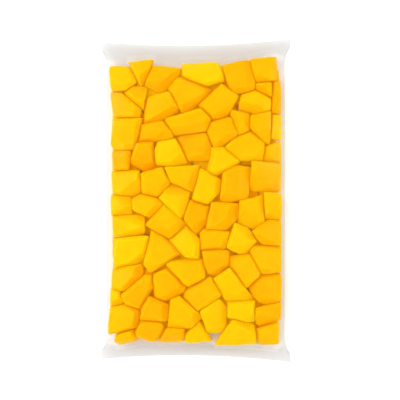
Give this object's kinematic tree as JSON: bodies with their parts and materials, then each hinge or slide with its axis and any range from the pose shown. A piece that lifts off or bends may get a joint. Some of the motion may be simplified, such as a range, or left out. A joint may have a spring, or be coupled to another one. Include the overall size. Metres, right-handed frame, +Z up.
{
  "type": "bag of mango chunks",
  "caption": "Clear pillow bag of cut mango chunks, lying flat, sealed across both ends, with the fruit pressed against the film.",
  "frame": {"origin": "middle of the bag's underside, on the surface it lies on", "axes": "+Y along the bag from one sealed end to the other, +X across it, +Z up out of the side that shows"},
  "size_m": [0.187, 0.32, 0.042],
  "materials": {
    "mango_flesh": "cut ripe mango, bright yellow turning orange in the gaps, softly moist",
    "clear_film": "clear flexible polyethylene film, slightly milky where it is doubled"
  },
  "bodies": {
    "root": {"mango_bag": "mango_flesh"}
  },
  "joints": []
}
